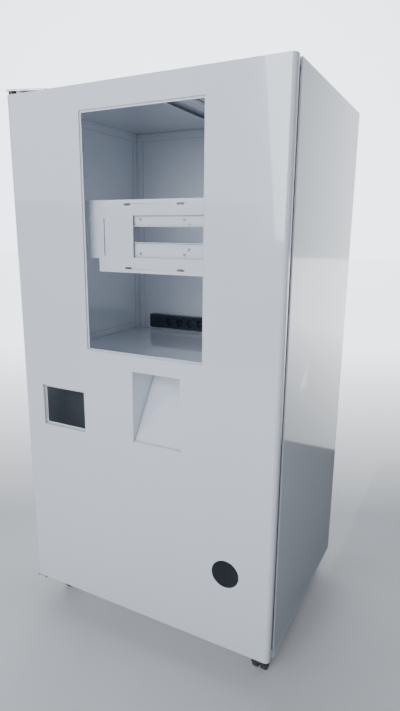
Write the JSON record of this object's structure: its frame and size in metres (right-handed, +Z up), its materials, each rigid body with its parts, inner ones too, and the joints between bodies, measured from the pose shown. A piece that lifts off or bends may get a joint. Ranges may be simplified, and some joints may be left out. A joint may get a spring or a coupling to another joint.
{
  "type": "snack vending machine",
  "caption": "Free-standing vending machine cabinet in white sheet steel: a full-height hinged door with a display window, payment opening and dispensing chute, on twin-wheel casters.",
  "frame": {"origin": "on the ground, at the middle of the machine's footprint", "axes": "+Z up, +X to the right as seen from the door, +Y from the door to the back"},
  "size_m": [0.945, 0.723, 1.8071],
  "materials": {
    "white_coat": "gloss powder coat",
    "zinc_plate": "zinc plated",
    "bright_steel": "ground",
    "strip_aluminium": "anodised",
    "seal_rubber": "matt",
    "black_plastic": "fine texture",
    "white_nylon": "smooth",
    "grey_tread": "worn"
  },
  "bodies": {
    "cabinet": {"left_side_panel": "white_coat", "right_side_panel": "white_coat", "back_panel": "white_coat", "roof_panel": "white_coat", "floor_panel": "white_coat", "middle_shelf": "white_coat", "rear_left_post": "white_coat", "rear_right_post": "white_coat", "roof_beam": "white_coat", "side_mounting_plate": "zinc_plate", "top_hinge_plate": "zinc_plate", "bottom_hinge_bracket": "zinc_plate", "top_hinge_pin": "bright_steel", "bottom_hinge_pin": "bright_steel", "power_strip_body": "black_plastic", "power_strip_base": "strip_aluminium", "socket_1": "black_plastic", "socket_2": "black_plastic", "socket_3": "black_plastic", "socket_4": "black_plastic", "socket_5": "black_plastic", "socket_6": "black_plastic", "power_strip_gland": "black_plastic", "door_catch_upper": "black_plastic", "door_catch_lower": "black_plastic", "caster_mount_front_left": "zinc_plate", "caster_mount_front_right": "zinc_plate", "caster_mount_rear_left": "zinc_plate", "caster_mount_rear_right": "zinc_plate"},
    "door": {"door_skin": "white_coat", "window_frame": "white_coat", "payment_frame": "white_coat", "dispensing_chute": "white_coat", "display_bracket": "white_coat", "display_rail_upper": "white_coat", "display_rail_lower": "white_coat", "door_gasket": "seal_rubber", "door_bush_top": "white_nylon", "door_bush_bottom": "white_nylon", "door_stiffener_left": "white_coat", "door_stiffener_right": "white_coat", "catch_keeper_upper": "zinc_plate", "catch_keeper_lower": "zinc_plate"},
    "power_switch": {"power_strip_rocker": "black_plastic"},
    "caster_front_left": {"caster_hood_front_left": "black_plastic", "caster_axle_front_left": "bright_steel"},
    "wheel_front_left_a": {"caster_wheel_front_left_a": "grey_tread"},
    "wheel_front_left_b": {"caster_wheel_front_left_b": "grey_tread"},
    "caster_front_right": {"caster_hood_front_right": "black_plastic", "caster_axle_front_right": "bright_steel"},
    "wheel_front_right_a": {"caster_wheel_front_right_a": "grey_tread"},
    "wheel_front_right_b": {"caster_wheel_front_right_b": "grey_tread"},
    "caster_rear_left": {"caster_hood_rear_left": "black_plastic", "caster_axle_rear_left": "bright_steel"},
    "wheel_rear_left_a": {"caster_wheel_rear_left_a": "grey_tread"},
    "wheel_rear_left_b": {"caster_wheel_rear_left_b": "grey_tread"},
    "caster_rear_right": {"caster_hood_rear_right": "black_plastic", "caster_axle_rear_right": "bright_steel"},
    "wheel_rear_right_a": {"caster_wheel_rear_right_a": "grey_tread"},
    "wheel_rear_right_b": {"caster_wheel_rear_right_b": "grey_tread"}
  },
  "joints": [
    {"name": "door_hinge", "type": "hinge", "parent": "cabinet", "child": "door", "pos_m": [-0.4545, -0.3475, 0.94], "axis": [0, 0, -1], "range_deg": [0, 110]},
    {"name": "power_switch", "type": "hinge", "parent": "cabinet", "child": "power_switch", "pos_m": [-0.338, 0.3125, 0.9921], "axis": [1, 0, 0], "range_deg": [-12, 0]},
    {"name": "caster_front_left_swivel", "type": "hinge", "parent": "cabinet", "child": "caster_front_left", "pos_m": [-0.4225, -0.2565, 0.07], "axis": [0, 0, 1], "continuous": true},
    {"name": "wheel_front_left_a_roll", "type": "hinge", "parent": "caster_front_left", "child": "wheel_front_left_a", "pos_m": [-0.3975, -0.2565, 0.03], "axis": [0, 1, 0], "continuous": true},
    {"name": "wheel_front_left_b_roll", "type": "hinge", "parent": "caster_front_left", "child": "wheel_front_left_b", "pos_m": [-0.3975, -0.2565, 0.03], "axis": [0, 1, 0], "continuous": true},
    {"name": "caster_front_right_swivel", "type": "hinge", "parent": "cabinet", "child": "caster_front_right", "pos_m": [0.4225, -0.2565, 0.07], "axis": [0, 0, 1], "continuous": true},
    {"name": "wheel_front_right_a_roll", "type": "hinge", "parent": "caster_front_right", "child": "wheel_front_right_a", "pos_m": [0.4225, -0.2815, 0.03], "axis": [1, 0, 0], "continuous": true},
    {"name": "wheel_front_right_b_roll", "type": "hinge", "parent": "caster_front_right", "child": "wheel_front_right_b", "pos_m": [0.4225, -0.2815, 0.03], "axis": [1, 0, 0], "continuous": true},
    {"name": "caster_rear_left_swivel", "type": "hinge", "parent": "cabinet", "child": "caster_rear_left", "pos_m": [-0.4225, 0.2995, 0.07], "axis": [0, 0, 1], "continuous": true},
    {"name": "wheel_rear_left_a_roll", "type": "hinge", "parent": "caster_rear_left", "child": "wheel_rear_left_a", "pos_m": [-0.40085, 0.287, 0.03], "axis": [0.5, 0.866, 0], "continuous": true},
    {"name": "wheel_rear_left_b_roll", "type": "hinge", "parent": "caster_rear_left", "child": "wheel_rear_left_b", "pos_m": [-0.40085, 0.287, 0.03], "axis": [0.5, 0.866, 0], "continuous": true},
    {"name": "caster_rear_right_swivel", "type": "hinge", "parent": "cabinet", "child": "caster_rear_right", "pos_m": [0.4225, 0.2995, 0.07], "axis": [0, 0, 1], "continuous": true},
    {"name": "wheel_rear_right_a_roll", "type": "hinge", "parent": "caster_rear_right", "child": "wheel_rear_right_a", "pos_m": [0.39835, 0.30597, 0.03], "axis": [-0.2588, -0.9659, 0], "continuous": true},
    {"name": "wheel_rear_right_b_roll", "type": "hinge", "parent": "caster_rear_right", "child": "wheel_rear_right_b", "pos_m": [0.39835, 0.30597, 0.03], "axis": [-0.2588, -0.9659, 0], "continuous": true}
  ]
}
